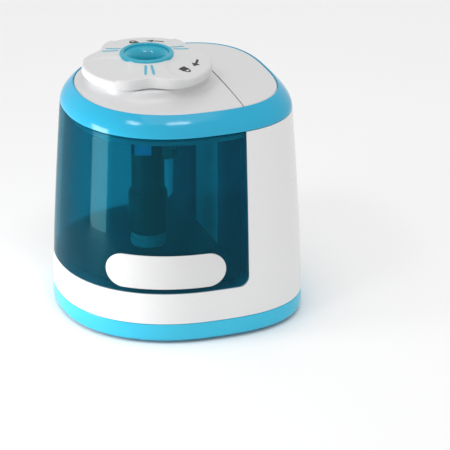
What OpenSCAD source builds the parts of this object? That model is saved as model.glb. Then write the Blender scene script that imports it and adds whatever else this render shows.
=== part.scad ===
// Battery desk pencil sharpener with a slide-out shavings tank.
// The origin is on the desk, under the middle of the body. +Z is up, the tank is towards -Y
// and the motor housing towards +Y. The modules are drawn about the pencil hole's axis, and
// the last block moves them all to the origin.

/* [Body outline] */
// Width of the flat top
top_w = 63.7; // [58:0.1:78]
// Length of the flat top, from the tank end to the motor end
top_l = 67.3; // [62:0.1:82]
// How far the middle of the outline lies behind the pencil hole
outline_y = 9.3; // [8:0.1:11]
// Roundness of the tank end, where 2 is a plain ellipse
nose_power = 2.2; // [2.2:0.1:3]
// Roundness of the motor end
tail_power = 2.8; // [2.6:0.1:4]
// Share by which the motor end is wider than the tank end
tail_flare = 0.04; // [0:0.01:0.1]
// How far the foot of the body stands out past the flat top
base_grow = 8; // [7.5:0.1:9]
// How far the walls lean in between the base ring and the band
draft = 3.3; // [1:0.1:4]

/* [Heights] */
// Height of the body up to the flat top
body_h = 80.7; // [78:0.1:100]
// How far the rubber feet stand proud
foot_proud = 0.8; // [0.6:0.1:1.5]
// Height of the coloured ring at the base
ring_h = 6.6; // [5:0.1:8]
// Height of the coloured band around the top
band_h = 6.9; // [6.7:0.1:8]
// Height of the pedestal under the knob
pedestal_h = 4.6; // [4.4:0.1:8]
// Thickness of the knob's edge
knob_h = 3.8; // [2.4:0.1:5]
// How far the funnel's rim stands above the knob
funnel_rise = 2.7; // [2:0.1:4]

/* [Walls] */
// Wall of the housing and base
wall = 2; // [1.6:0.1:2.4]
// Wall of the clear tank
tank_wall = 1.8; // [1.4:0.1:2.4]
// Gap around the tank and other loose pieces
gap = 0.3; // [0.2:0.05:0.4]
// Radial gap of a turning fit
run_gap = 0.06; // [0.04:0.01:0.1]

/* [Pencil and cutter] */
// Bore that the pencil passes through
pencil_bore = 8.6; // [8.2:0.1:9]
// Outside diameter of the funnel's rim
funnel_d = 18.4; // [17:0.1:20]
// Largest diameter of the knob
knob_d = 44.6; // [42:0.1:48]
// Diameter of the pedestal at its top
pedestal_d = 39.6; // [37:0.1:40]
// Diameter of the cutter holder's neck
neck_d = 11.4; // [11.2:0.1:11.8]
// Diameter of the cutter holder's lower part
holder_d = 13.4; // [13:0.1:15]
// Length of the cutter holder
holder_l = 49; // [46:0.1:50]

/* [Batteries] */
// Diameter of one cell
cell_d = 14.3; // [13.9:0.1:14.4]
// Length of one cell without its button
cell_l = 49.2; // [48.5:0.1:49.5]
// Number of cells
cell_count = 4; // [4:1:4]

/* [Drive] */
// Distance from the pencil hole to the motor shaft
motor_y = 35; // [34.5:0.1:35.5]
// Diameter of the motor can
motor_d = 24.2; // [23:0.1:24.4]
// Thickness of the motor can across its flats
motor_flats = 18.3; // [17:0.1:18.4]
// Length of the motor can
motor_l = 30.5; // [28:0.1:32]
// Diameter of the motor shaft
shaft_d = 2; // [2:0.1:2.3]
// Teeth on the gear round the cutter
ring_teeth = 31; // [31:1:31]
// Teeth on the small wheel of the idler
small_teeth = 8; // [8:1:8]
// Teeth on the large wheel of the idler
large_teeth = 52; // [52:1:52]
// Teeth on the motor pinion
pinion_teeth = 10; // [10:1:10]

/* [Hidden] */

$fn = 48;
far = 200;
slit = 0.01;

white = "whitesmoke";
cyan = "deepskyblue";
clear_blue = [0.1, 0.55, 0.7, 0.55];
steel = "silver";
dark = [0.15, 0.14, 0.15];

// Levels, from the desk upwards
base_z = foot_proud;
ring_top = base_z + ring_h;
cell_floor = base_z + 2.3;
cell_z = cell_floor + cell_d / 2;
deck_low = cell_floor + cell_d + 0.2;
bay_floor = deck_low + 1;
tank_z = bay_floor + gap;
band_z = body_h - band_h;
tank_top = band_z - gap;
plate_z = band_z - 3.3;
plate_t = 1.5;
gear_z = plate_z + plate_t;
cover_t = 1.7;
cover_z = body_h - cover_t;
pedestal_top = body_h + pedestal_h;
knob_z = pedestal_top + gap;
knob_top = knob_z + knob_h;
funnel_top = knob_top + funnel_rise;

// Plan positions
bay_back = 22.6;
part_t = 1.8;
comp_front = bay_back + part_t;
seam_y = bay_back + 1;
cell_pitch = cell_d + 0.8;
cell_y = outline_y;
cell_end = cell_l / 2;
contact_room = 2.6;
button_h = 1.2;
cradle_t = 1;
door_front = cell_y - cell_end;
door_back = door_front + 53;
door_half = cell_pitch * 2 - 0.2;
door_t = 1.6;
door_gap = gap;
knuckle_r = 1.4;
pin_r = 0.9;
pin_l = 3;
door_pin_z = base_z + knuckle_r;

// Gears: the first stage is fine, the second stage is coarse
fine = 0.5;
coarse = 1;
idler_y = (ring_teeth + small_teeth) * coarse / 2;
gear_t = 2.6;
low_gear_z = gear_z + 0.5;
high_gear_z = low_gear_z + gear_t + 0.4;
axle_d = 2;

// Cutter
holder_top = high_gear_z - 0.4;
holder_z = holder_top - holder_l;
holder_shoulder = holder_z + 16;
plug_h = 4.1;
hub_r = 9;
ear_r = 7.6;
ear_t = 1.2;
bush_r = hub_r + 1.6;
stem_r = 12;
tank_slot = 2 * (bush_r + 3);
plate_grow = 2.4;
cover_boss = 3;

// Switches
safety_x = -22;
safety_z = 30;
plunger_r = 1.6;
plunger_l = 7;
lever_turn = 39;
lever_far = neck_d / 2 + 5.7;
lever_z = plate_z - 9;
lever_half = 1.7;
lever_pin_r = 0.7;

// Motor
motor_top = plate_z - 1.4;
motor_low = motor_top - motor_l;

// Knob and funnel. view_turn is the side that the label plate faces
view_turn = 70;
lobe_turn = 45;
lobes = 3;
scoop = 4.2;
scoop_a = 19;
lug_turn = 0;
lug_r = 13.6;
lug_w = 5;
lug_t = 1.6;
stem_t = 1.8;
stem_lift = 0.6;
seat_t = 1.2;
cover_lip = 1.5;
seat_z = knob_z - 1.8;
funnel_low = holder_top + 0.5;
funnel_wall = 1.2;
funnel_tube_r = pencil_bore / 2 + funnel_wall;

// Blade and pencil cone
cone_a = 10.5;
tip_z = holder_z + 8;
tip_r = 0.9;
throat_r = pencil_bore / 2;
cone_h = (throat_r - tip_r) / tan(cone_a);
blade_w = 5.4;
blade_l = cone_h + 4;
blade_t = 0.6;
blade_turn = 160;
fix_y = 3.2;
fix_z = 3;

// Round positions for fixings
foot_r = 3.8;
foot_sink = 0.5;
feet = [[-11.5, -24.5], [11.5, -24.5], [-17.5, 43.5], [17.5, 43.5]];
base_posts = [[0, -24.6], [-25, 41.8], [25, 41.8]];
deck_posts = [[-19, -8], [19, -8], [-22.5, 30.5], [22.5, 30.5]];
wire_holes = [[-8, 42], [8, 42]];
post_r = 3;
pilot_r = 1.1;
thread_r = 1.05;
head_r = 2.3;
head_t = 1.2;

// ---- Outline ----

outline_n = 72;

// Distance from the outline's middle to a superellipse in the direction a
function reach(a, half_w, half_l, power) =
    pow(pow(abs(cos(a)) / half_w, power) + pow(abs(sin(a)) / half_l, power), -1 / power);

// One point of the body's outline, grown by g past the flat top
function rim(a, g) =
    let (half_w = top_w / 2 + g, half_l = top_l / 2 + g)
    let (r = reach(a, half_w, half_l, a > 180 ? nose_power : tail_power))
    let (y = r * sin(a))
    [r * cos(a) * (1 + tail_flare * y / half_l), outline_y + y];

function outline(g) = [for (i = [0:outline_n - 1]) rim(360 * i / outline_n, g)];

// How far the wall stands past the flat top at height z
function wall_grow(z) =
    base_grow - draft * pow(max(0, min(1, (z - ring_top) / (band_z - ring_top))), 1.4);

// Solid through a list of [z, grow] levels
module loft(levels) {
    n = outline_n;
    points = [for (l = levels, p = outline(l[1])) [p[0], p[1], l[0]]];
    last = (len(levels) - 1) * n;
    bottom = [for (i = [0:n - 1]) i];
    top = [for (i = [n - 1:-1:0]) last + i];
    sides = [
        for (k = [0:len(levels) - 2], i = [0:n - 1])
        let (a = k * n + i, b = k * n + (i + 1) % n)
        each [[a, a + n, b], [b, a + n, b + n]]
    ];
    polyhedron(points, concat([bottom], sides, [top]));
}

// The body's skin from z0 to z1, moved inwards by inset
module skin(z0, z1, inset, steps = 4) {
    loft([for (k = [0:steps]) let (z = z0 + (z1 - z0) * k / steps) [z, wall_grow(z) - inset]]);
}

// Straight plate with the body's outline
module slab(z0, z1, grow) {
    translate([0, 0, z0]) linear_extrude(z1 - z0) polygon(outline(grow));
}

// Space in front of the partition and above the bay floor, with a rounded lower corner
module bay(inset) {
    corner = 3.4;
    y = bay_back - inset;
    z = bay_floor + inset;
    rotate([90, 0, 90]) linear_extrude(far, center = true) {
        translate([y - corner, z + corner]) circle(corner);
        translate([-far, z]) square([far + y - corner, far]);
        translate([-far, z + corner]) square([far + y, far]);
    }
}

module tube(r_out, r_in, z0, z1) {
    translate([0, 0, z0]) difference() {
        cylinder(r = r_out, h = z1 - z0);
        translate([0, 0, -1]) cylinder(r = r_in, h = z1 - z0 + 2);
    }
}

module at(places) {
    for (p = places) translate([p[0], p[1], 0]) children();
}

// Pan-head screw standing on its head, with the head's face at z and the thread upwards
module screw(z, length) {
    difference() {
        translate([0, 0, z]) cylinder(r = head_r, h = head_t);
        for (turn = [0, 90])
            rotate(turn) translate([-head_r * 0.6, -0.3, z - 1]) cube([head_r * 1.2, 0.6, 1.7]);
    }
    translate([0, 0, z + head_t]) cylinder(r = thread_r, h = length);
}

// Spur gear with a tooth centred on the angle start
module gear(teeth, size, thickness, start) {
    pitch_r = teeth * size / 2;
    tip = pitch_r + 0.75 * size;
    root = pitch_r - 0.95 * size;
    step = 360 / teeth;
    linear_extrude(thickness) polygon([
        for (i = [0:teeth - 1], p = [[-0.31, root], [-0.1, tip], [0.1, tip], [0.31, root]])
        let (a = start + (i + p[0]) * step)
        [p[1] * cos(a), p[1] * sin(a)]
    ]);
}

// ---- Base ----

module base_tray() color(cyan) {
    floor_t = 2;
    boss_w = 3;
    difference() {
        union() {
            difference() {
                loft([[base_z, base_grow - 0.9], [base_z + 0.9, base_grow], [ring_top, base_grow]]);
                slab(base_z + floor_t, ring_top + 1, base_grow - wall);
            }
            for (side = [-1, 1])
                translate([side * (door_half + door_gap + boss_w / 2), door_back, base_z + floor_t])
                    cube([boss_w, 4, 3], center = true);
            at(base_posts) translate([0, 0, base_z]) cylinder(r = post_r, h = ring_h + 0.1);
        }
        translate([-door_half - door_gap, door_front - door_gap, 0])
            cube([2 * (door_half + door_gap), door_back - door_front + knuckle_r + 2 * door_gap, 5]);
        translate([0, door_back, door_pin_z]) rotate([0, 90, 0])
            cylinder(r = pin_r + run_gap, h = 2 * (door_half + pin_l + door_gap), center = true);
        at(feet) cylinder(r = foot_r + 0.05, h = base_z + foot_sink);
        at(base_posts) {
            cylinder(r = head_r + 0.2, h = base_z + head_t + 0.1);
            cylinder(r = thread_r + 0.15, h = far);
        }
    }
}

module rubber_feet() color(dark) {
    at(feet) rotate_extrude() polygon([
        [0, 0], [foot_r - 0.6, 0], [foot_r, 0.6], [foot_r, base_z + foot_sink], [0, base_z + foot_sink]
    ]);
}

module base_screws() color(steel) {
    at(base_posts) screw(base_z + 0.1, 12);
}

module battery_door() color(cyan) {
    finger_r = 7;
    difference() {
        union() {
            translate([-door_half, door_front, base_z])
                cube([2 * door_half, door_back - door_front, door_t]);
            translate([0, door_back, door_pin_z]) rotate([0, 90, 0])
                cylinder(r = knuckle_r, h = 2 * door_half, center = true);
        }
        translate([0, door_front + 9, base_z - finger_r + 0.9]) sphere(finger_r);
    }
    translate([0, door_back, door_pin_z]) rotate([0, 90, 0])
        cylinder(r = pin_r, h = 2 * (door_half + pin_l), center = true);
}

// End walls and dividers that hold the cells
module battery_cradle() color(white) {
    reach_y = cell_end + contact_room;
    low = door_pin_z + knuckle_r + gap;
    tall = deck_low - low;
    for (side = [-1, 1])
        translate([0, cell_y + side * (reach_y + cradle_t / 2), low + tall / 2])
            cube([2 * (door_half - 3.5), cradle_t, tall], center = true);
    for (x = [-1, 0, 1])
        translate([x * cell_pitch, cell_y, cell_z])
            cube([0.5, 2 * reach_y + 0.2, 4], center = true);
}

function cell_x(i) = (i - (cell_count + 1) / 2) * cell_pitch;
function cell_dir(i) = i % 2 == 0 ? 1 : -1;

// Steel can with its positive button, both on one axis
module aa_cell(i) {
    translate([cell_x(i), cell_y, cell_z]) rotate([-90 * cell_dir(i), 0, 0]) {
        color("goldenrod") translate([0, 0, -cell_end]) cylinder(d = cell_d, h = cell_l);
        color(steel) translate([0, 0, cell_end]) cylinder(r = 2.7, h = button_h);
    }
}

// Flat-wound contact springs on the negative ends
module contact_springs() color(steel) {
    wire_r = 0.3;
    pitch = 0.72;
    for (i = [1:cell_count])
        translate([cell_x(i), cell_y - cell_dir(i) * cell_end, cell_z]) rotate([90 * cell_dir(i), 0, 0])
            for (turn = [0:2])
                translate([0, 0, wire_r + turn * pitch]) rotate_extrude()
                    translate([2.2 + turn * 0.7, 0]) circle(wire_r, $fn = 16);
}

module contact_plates() color(steel) {
    plate = 0.4;
    reach_y = cell_end + contact_room;
    for (i = [1:cell_count], side = [-1, 1])
        translate([cell_x(i), cell_y + side * (reach_y - plate / 2), cell_z])
            cube([9, plate, 9], center = true);
    for (i = [1:cell_count])
        translate([cell_x(i), cell_y + cell_dir(i) * (reach_y - plate), cell_z])
            rotate([90 * cell_dir(i), 0, 0]) cylinder(r = 2.2, h = contact_room - plate - button_h);
}

// ---- Housing and tank ----

module main_housing() color(white) {
    top = band_z - 0.2;
    difference() {
        union() {
            difference() {
                skin(ring_top + 0.2, top, 0);
                skin(ring_top, deck_low, wall, 1);
                bay(0);
                intersection() {
                    skin(bay_floor, top + 1, wall, 3);
                    translate([-far / 2, comp_front, 0]) cube([far, far, far]);
                }
            }
            at(base_posts) translate([0, 0, ring_top + 0.2])
                cylinder(r = post_r, h = deck_low - ring_top + 0.5);
        }
        at(base_posts) cylinder(r = pilot_r, h = deck_low - 1);
        translate([safety_x, bay_back + 1, safety_z]) rotate([90, 0, 0])
            cylinder(r = plunger_r + run_gap, h = 6, center = true);
        at(wire_holes) cylinder(r = 1.6, h = bay_floor + 1);
        intersection() {
            slab(plate_z, far, plate_grow + gap);
            translate([-far / 2, 0, 0]) cube([far, comp_front, far]);
        }
    }
}

module shavings_tank() color(clear_blue) {
    floor_z = tank_z + tank_wall;
    difference() {
        intersection() {
            skin(tank_z - 1, tank_top, 0);
            bay(gap);
        }
        intersection() {
            skin(floor_z, tank_top + 1, tank_wall, 3);
            bay(gap + tank_wall);
        }
        translate([-tank_slot / 2, 0, floor_z + 0.6]) cube([tank_slot, far, far]);
        // The rear wall stops below the gear deck and its pocket has straight sides, as wide
        // as the deck at its widest, so that the tank slides out under it
        intersection() {
            hull() for (back = [0, far]) translate([0, back, 0])
                slab(plate_z - gap, far, plate_grow + gap);
            translate([-far / 2, bay_back - gap - tank_wall - 0.1, 0]) cube([far, far, far]);
        }
    }
}

// Blank rounded plate that follows the tank's side
module label_plate() color(white) {
    plate_w = 40.5;
    plate_h = 12;
    height = tank_z + 1.6 + plate_h / 2;
    slide = 6.6;
    intersection() {
        difference() {
            skin(height - plate_h, height + plate_h, -0.45, 3);
            skin(height - plate_h - 1, height + plate_h + 1, -0.05, 3);
        }
        rotate([0, 0, view_turn]) translate([slide, 0, height]) rotate([90, 0, 0])
            linear_extrude(far) {
                square([plate_w - plate_h, plate_h], center = true);
                for (side = [-1, 1]) translate([side * (plate_w - plate_h) / 2, 0]) circle(plate_h / 2);
            }
    }
}

// ---- Head: gear deck, band and covers ----

module gear_deck() color(white) {
    rim_h = band_z + 2 - gear_z;
    difference() {
        union() {
            slab(plate_z, gear_z, plate_grow);
            difference() {
                slab(gear_z - slit, gear_z + rim_h, plate_grow - 0.5);
                slab(gear_z - 1, gear_z + rim_h + 1, plate_grow - 1.7);
            }
            at(deck_posts) translate([0, 0, plate_z])
                cylinder(r = post_r + 0.2, h = cover_z - cover_boss - plate_z);
            translate([0, idler_y, plate_z]) cylinder(r = 2.4, h = low_gear_z - plate_z - 0.1);
        }
        translate([0, 0, plate_z - 1]) cylinder(r = bush_r, h = 9);
        translate([0, motor_y, plate_z - 1]) cylinder(r = shaft_d / 2 + 0.8, h = 9);
        translate([0, idler_y, plate_z - 1]) cylinder(d = axle_d, h = 9);
        at(deck_posts) translate([0, 0, plate_z - 1]) {
            cylinder(r = head_r + 0.2, h = 1 + head_t + 0.1);
            cylinder(r = thread_r + 0.15, h = 20);
        }
    }
}

module deck_screws() color(steel) {
    at(deck_posts) screw(plate_z + 0.1, 7);
}

function band_grow(share) = 0.35 + (base_grow - draft - 0.35) * (1 - pow(share, 1.8));

module top_band() color(cyan) {
    steps = 6;
    ledge_t = 1;
    half_way = band_z + 2.2;
    difference() {
        loft([for (k = [0:steps]) [band_z + band_h * k / steps, band_grow(k / steps)]]);
        slab(band_z - 1, half_way, 2.2);
        slab(half_way - slit, cover_z - ledge_t, 1);
        slab(cover_z - 2 * ledge_t, cover_z, -1.5);
        slab(cover_z - slit, body_h + 1, 0);
    }
}

// Flat cover inside the band, with bosses under it for the deck screws
module cover_plate(posts) {
    slab(cover_z, body_h, -0.15);
    at(posts) translate([0, 0, cover_z - cover_boss]) cylinder(r = post_r - 0.4, h = cover_boss + slit);
}

module half_space(front) {
    translate([-far / 2, front ? seam_y - 0.1 - far : seam_y + 0.1, 0]) cube([far, far, far]);
}

module cover_pilots() {
    at(deck_posts) translate([0, 0, cover_z - cover_boss - 1]) cylinder(r = pilot_r, h = cover_boss + 1);
}

module front_cover() color(white) {
    top_r = pedestal_d / 2;
    difference() {
        union() {
            intersection() {
                cover_plate([deck_posts[0], deck_posts[1]]);
                half_space(true);
            }
            rotate_extrude() polygon([
                [stem_r, body_h - slit], [top_r + 3, body_h - slit], [top_r + 3, body_h],
                for (a = [0:15:75]) [top_r + 3 - 2.2 * sin(a), body_h + 1.6 * (1 - cos(a))],
                [top_r, pedestal_top - 0.7], [top_r - 0.2, pedestal_top - 0.2],
                [top_r - 0.7, pedestal_top], [stem_r, pedestal_top]
            ]);
        }
        translate([0, 0, cover_z - 1]) cylinder(r = top_r - 1.8, h = pedestal_top - cover_lip - cover_z + 1);
        translate([0, 0, cover_z]) cylinder(r = stem_r + run_gap, h = far);
        // Two notches that let the knob's lugs through
        rotate(lug_turn + 45) translate([0, 0, body_h + far / 2])
            cube([2 * lug_r + 0.6, lug_w + 0.6, far], center = true);
        cover_pilots();
    }
}

module rear_cover() color(white) {
    difference() {
        intersection() {
            cover_plate([deck_posts[2], deck_posts[3]]);
            half_space(false);
        }
        cover_pilots();
    }
}

// ---- Knob and funnel ----

// Angle from a to the middle of the nearest scoop between two lobes
function from_scoop(a) =
    let (step = 360 / lobes, turn = (a - lobe_turn + 720) % step)
    turn - step / 2;

// Round lobes with a shallow finger scoop between each two
function knob_edge(a, inset) =
    let (r = knob_d / 2 - scoop * exp(-pow(from_scoop(a) / scoop_a, 2)) - inset)
    [r * cos(a), r * sin(a)];

module knob_slice(z, h, inset) {
    translate([0, 0, z]) linear_extrude(h) polygon([for (a = [0:3:357]) knob_edge(a, inset)]);
}

// The knob's top rises to the funnel
rise_r = 17.5;
rise_h = funnel_rise - 0.8;

module knob() color(white) {
    difference() {
        union() {
            translate([0, 0, knob_top - slit])
                cylinder(r1 = rise_r, r2 = funnel_d / 2 + 0.4, h = rise_h + slit);
            knob_slice(knob_z, 0.6, 0.5);
            knob_slice(knob_z + 0.6, knob_h - 1.2, 0);
            knob_slice(knob_top - 0.6, 0.6, 0.5);
            translate([0, 0, body_h + stem_lift]) cylinder(r = stem_r, h = knob_z - body_h);
            rotate(lug_turn) translate([0, 0, pedestal_top - cover_lip - gap - lug_t / 2])
                cube([2 * lug_r, lug_w, lug_t], center = true);
        }
        translate([0, 0, body_h]) cylinder(r = stem_r - stem_t, h = seat_z - seat_t - body_h);
        translate([0, 0, body_h]) cylinder(r = funnel_tube_r + 0.1, h = 20);
        translate([0, 0, seat_z]) cylinder(r = funnel_d / 2 - 0.35, h = 20);
        translate([0, 0, knob_top]) cylinder(r = funnel_d / 2 + 0.05, h = 20);
    }
}

// Puts its children on the knob's sloping top, at a distance from the axis
module on_slope(r) {
    fall = rise_h / (rise_r - funnel_d / 2 - 0.4);
    translate([r, 0, knob_top + fall * (rise_r - r)]) rotate([0, atan(fall), 0]) children();
}

// Printed turning marks: two ticks over each scoop, and an arrow with a padlock on two lobes
module knob_marks() color("dimgray") {
    mark_t = 0.12;
    tick_l = 6.4;
    tick_r = 13.3;
    icon_r = 19.2;
    for (k = [0:lobes - 1], side = [-1, 1]) rotate(lobe_turn + (k + 0.5) * 360 / lobes + side * 5)
        on_slope(tick_r) translate([-tick_l / 2, -0.45, 0]) cube([tick_l, 0.9, mark_t]);
    translate([0, 0, knob_top]) linear_extrude(mark_t)
        for (k = [0, 1]) rotate(lobe_turn + k * 360 / lobes) translate([icon_r, 0]) {
            translate([0, -3.2]) square([2, 2.6], center = true);
            translate([0, 2.6]) square([0.9, 3.4], center = true);
            translate([0, 1]) polygon([[-1.1, 0], [1.1, 0], [0, -1.8]]);
        }
}

module pencil_funnel() color(cyan) {
    rim_r = funnel_d / 2;
    bore_r = pencil_bore / 2;
    dish = 5.4;
    difference() {
        rotate_extrude() polygon([
            [bore_r, funnel_low], [funnel_tube_r, funnel_low], [funnel_tube_r, seat_z],
            [rim_r - 0.4, seat_z], [rim_r - 0.4, knob_top], [rim_r, knob_top + 0.1],
            [rim_r, funnel_top - 0.8],
            for (a = [0:20:160]) [rim_r - 0.7 + 0.7 * cos(a), funnel_top - 0.7 + 0.7 * sin(a)],
            for (a = [0:15:90])
                [bore_r + (rim_r - 1.5 - bore_r) * (1 - sin(a)), funnel_top - 0.9 - dish * (1 - cos(a))]
        ]);
        // Spring slot in the throat
        rotate(view_turn) translate([bore_r + 0.2, 0, funnel_low + 3]) cube([2.4, 1.8, 8], center = true);
    }
}

// ---- Rotor ----

module rotor_bush() color("peru") {
    tube(bush_r, hub_r + run_gap, plate_z, gear_z + 0.2);
}

module cutter_gear() color("ivory") {
    bore_r = neck_d / 2 + 0.05;
    difference() {
        union() {
            translate([0, 0, low_gear_z]) gear(ring_teeth, coarse, gear_t, 90);
            translate([0, 0, plate_z]) cylinder(r = hub_r, h = low_gear_z + gear_t - plate_z);
        }
        translate([0, 0, plate_z - 1]) cylinder(r = bore_r, h = 20);
        translate([0, 0, holder_top - ear_t]) cylinder(r = ear_r + 0.1, h = 20);
    }
}

// Puts its children on the seat of the blade, with the outside towards -X
module on_seat() {
    rotate(blade_turn + 180) translate([-tip_r, 0, tip_z]) rotate([0, -cone_a, 0]) children();
}

module cutter_holder() color(dark) {
    neck_r = neck_d / 2;
    low_r = holder_d / 2;
    soft = 1.6;
    difference() {
        union() {
            rotate_extrude() polygon([
                [0, holder_z], [low_r - soft, holder_z],
                for (a = [-75:15:0]) [low_r - soft + soft * cos(a), holder_z + soft + soft * sin(a)],
                for (a = [0:15:60]) [low_r - soft + soft * cos(a), holder_shoulder - soft + soft * sin(a)],
                [neck_r, holder_shoulder + 0.3], [neck_r, holder_top], [0, holder_top]
            ]);
            intersection() {
                translate([0, 0, holder_top - ear_t]) cylinder(r = ear_r, h = ear_t);
                translate([0, 0, holder_top]) cube([2 * ear_r, 5, 4], center = true);
            }
        }
        translate([0, 0, holder_z - 1]) cylinder(r = 2.5, h = 5.2);
        translate([0, 0, tip_z]) cylinder(r1 = tip_r, r2 = throat_r, h = cone_h);
        translate([0, 0, tip_z + cone_h - slit]) cylinder(r = throat_r, h = holder_l);
        on_seat() {
            translate([-20, -2.6, -3]) cube([20, 30, blade_l + 3]);
            translate([1, fix_y, fix_z]) rotate([0, 90, 0]) cylinder(r = 0.9, h = 5, center = true);
        }
    }
}

module cutter_blade() color("silver") {
    bevel = 35;
    on_seat() difference() {
        translate([-blade_t, -0.3, -2]) cube([blade_t, blade_w, blade_l]);
        translate([0, fix_y, fix_z]) rotate([0, 90, 0]) cylinder(r = 1, h = 5, center = true);
        translate([-blade_t, -0.3, -3]) rotate([0, 0, -bevel]) cube([3, 0.6, far]);
    }
}

module blade_screw() color(steel) {
    on_seat() translate([0, fix_y, fix_z]) rotate([0, -90, 0]) {
        difference() {
            translate([0, 0, blade_t]) cylinder(r = 2, h = 1);
            for (turn = [0, 90]) rotate(turn) translate([-1.3, -0.25, blade_t + 0.5]) cube([2.6, 0.5, 2]);
        }
        translate([0, 0, -2]) cylinder(r = 0.88, h = 2 + blade_t);
    }
}

module stop_plug() color("honeydew") {
    flange_h = 2.4;
    low = holder_z - plug_h;
    translate([0, 0, low]) cylinder(r = holder_d / 2 - 0.6, h = flange_h);
    translate([0, 0, low + flange_h]) cylinder(r = holder_d / 2 - 1.6, h = plug_h - flange_h);
    translate([0, 0, holder_z]) cylinder(r = 2.45, h = 4);
}

// ---- Gear train and motor ----

module idler_gear() color("ivory") {
    translate([0, idler_y, 0]) difference() {
        union() {
            translate([0, 0, low_gear_z])
                gear(small_teeth, coarse, high_gear_z - low_gear_z + slit, -90 + 180 / small_teeth);
            translate([0, 0, high_gear_z]) gear(large_teeth, fine, gear_t, 90);
        }
        translate([0, 0, gear_z]) cylinder(r = axle_d / 2 + run_gap, h = 20);
    }
}

module idler_axle() color(steel) {
    translate([0, idler_y, plate_z]) cylinder(d = axle_d, h = cover_z - 0.1 - plate_z);
}

module pinion() color("goldenrod") {
    translate([0, motor_y, high_gear_z]) difference() {
        gear(pinion_teeth, fine, gear_t, -90 + 180 / pinion_teeth);
        translate([0, 0, -1]) cylinder(d = shaft_d, h = 9);
    }
}

module motor_shaft() color(steel) {
    tail = 3;
    translate([0, motor_y, motor_low - tail])
        cylinder(d = shaft_d, h = high_gear_z + gear_t + 0.3 - motor_low + tail);
}

// Round can with two flats
module can_shape(z, h, grow) {
    translate([0, motor_y, z]) intersection() {
        cylinder(d = motor_d + 2 * grow, h = h);
        translate([0, 0, h / 2]) cube([2 * motor_d, motor_flats + 2 * grow, h], center = true);
    }
}

module shaft_way() {
    translate([0, motor_y, 0]) cylinder(r = shaft_d / 2 + run_gap, h = far);
}

module motor_can() color(steel) {
    difference() {
        union() {
            can_shape(motor_low, motor_l, 0);
            translate([0, motor_y, motor_top]) cylinder(r = 3, h = plate_z - motor_top);
        }
        shaft_way();
    }
}

module motor_end_cap() color(dark) {
    cap = 2;
    difference() {
        can_shape(motor_low - cap, cap, -0.3);
        shaft_way();
    }
    for (side = [-1, 1])
        translate([side * 8, motor_y, motor_low - cap - 1.5]) cube([0.4, 2.4, 3], center = true);
}

module motor_cradle() color(white) {
    band = 5;
    side_w = 2.5;
    difference() {
        translate([-motor_d / 2 - side_w, comp_front, motor_low + 10])
            cube([motor_d + 2 * side_w, motor_y - comp_front + 3, band]);
        can_shape(0, far, 0.05);
    }
}

// ---- Start lever, switches and wires ----

module guide_finger() color(cyan) {
    finger_w = 5.7;
    finger_l = 13;
    rotate(view_turn) translate([-1.35, -7.9, plate_z - finger_l / 2])
        cube([finger_w, 1.2, finger_l], center = true);
}

module at_lever() {
    rotate(lever_turn) translate([lever_far, 0, lever_z]) children();
}

module lever_bore(r) {
    rotate([90, 0, 0]) cylinder(r = r, h = 20, center = true);
}

module start_lever() color(dark) {
    at_lever() difference() {
        union() {
            rotate([90, 0, 0]) cylinder(r = 1.6, h = 2 * lever_half, center = true);
            translate([-2.6, 0, -3.4]) cube([4.2, 2 * lever_half, 5], center = true);
            translate([-3.2, 0, -5]) cube([1.8, 2 * lever_half, 3], center = true);
        }
        lever_bore(lever_pin_r + run_gap);
    }
}

module lever_pin() color(steel) {
    at_lever() rotate([90, 0, 0]) cylinder(r = lever_pin_r, h = 2 * lever_half + 2.2, center = true);
}

module start_switch() color(dark) {
    cheek = 1;
    drop = plate_z - lever_z;
    at_lever() difference() {
        union() {
            translate([0.6, 0, drop / 2 + 1.1])
                cube([2.6, 2 * (lever_half + 0.1 + cheek), drop - 2.2], center = true);
            for (side = [-1, 1])
                translate([0.2, side * (lever_half + 0.1 + cheek / 2), 1]) cube([3, cheek, 5], center = true);
        }
        lever_bore(lever_pin_r);
    }
}

module safety_switch() color(dark) {
    difference() {
        translate([safety_x - 3.5, comp_front, safety_z - 6]) cube([7, 8, 12]);
        translate([safety_x, bay_back, safety_z]) rotate([-90, 0, 0])
            cylinder(r = plunger_r + run_gap, h = plunger_l + 0.4);
    }
}

module safety_plunger() color("ivory") {
    translate([safety_x, bay_back - gap + 0.15, safety_z]) rotate([-90, 0, 0])
        cylinder(r = plunger_r, h = plunger_l);
}

// Round bar between two points
module bar(a, b, r) {
    d = b - a;
    l = norm(d);
    translate(a) rotate([0, acos(d[2] / l), atan2(d[1], d[0])]) cylinder(r = r, h = l);
}

module wire(points) {
    wire_r = 0.7;
    for (i = [0:len(points) - 2]) bar(points[i], points[i + 1], wire_r);
    for (p = points) translate(p) sphere(1.15 * wire_r);
}

function wire_route(side) = [
    [side * 9, 39.2, 12], [side * 8, 42, 15], [side * 8, 42, 24],
    [side * 9.5, 39, 30], [side * 9.5, motor_y, motor_low - 6]
];

module red_wire() color("firebrick") wire(wire_route(1));

module black_wire() color("black") wire(wire_route(-1));

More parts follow.
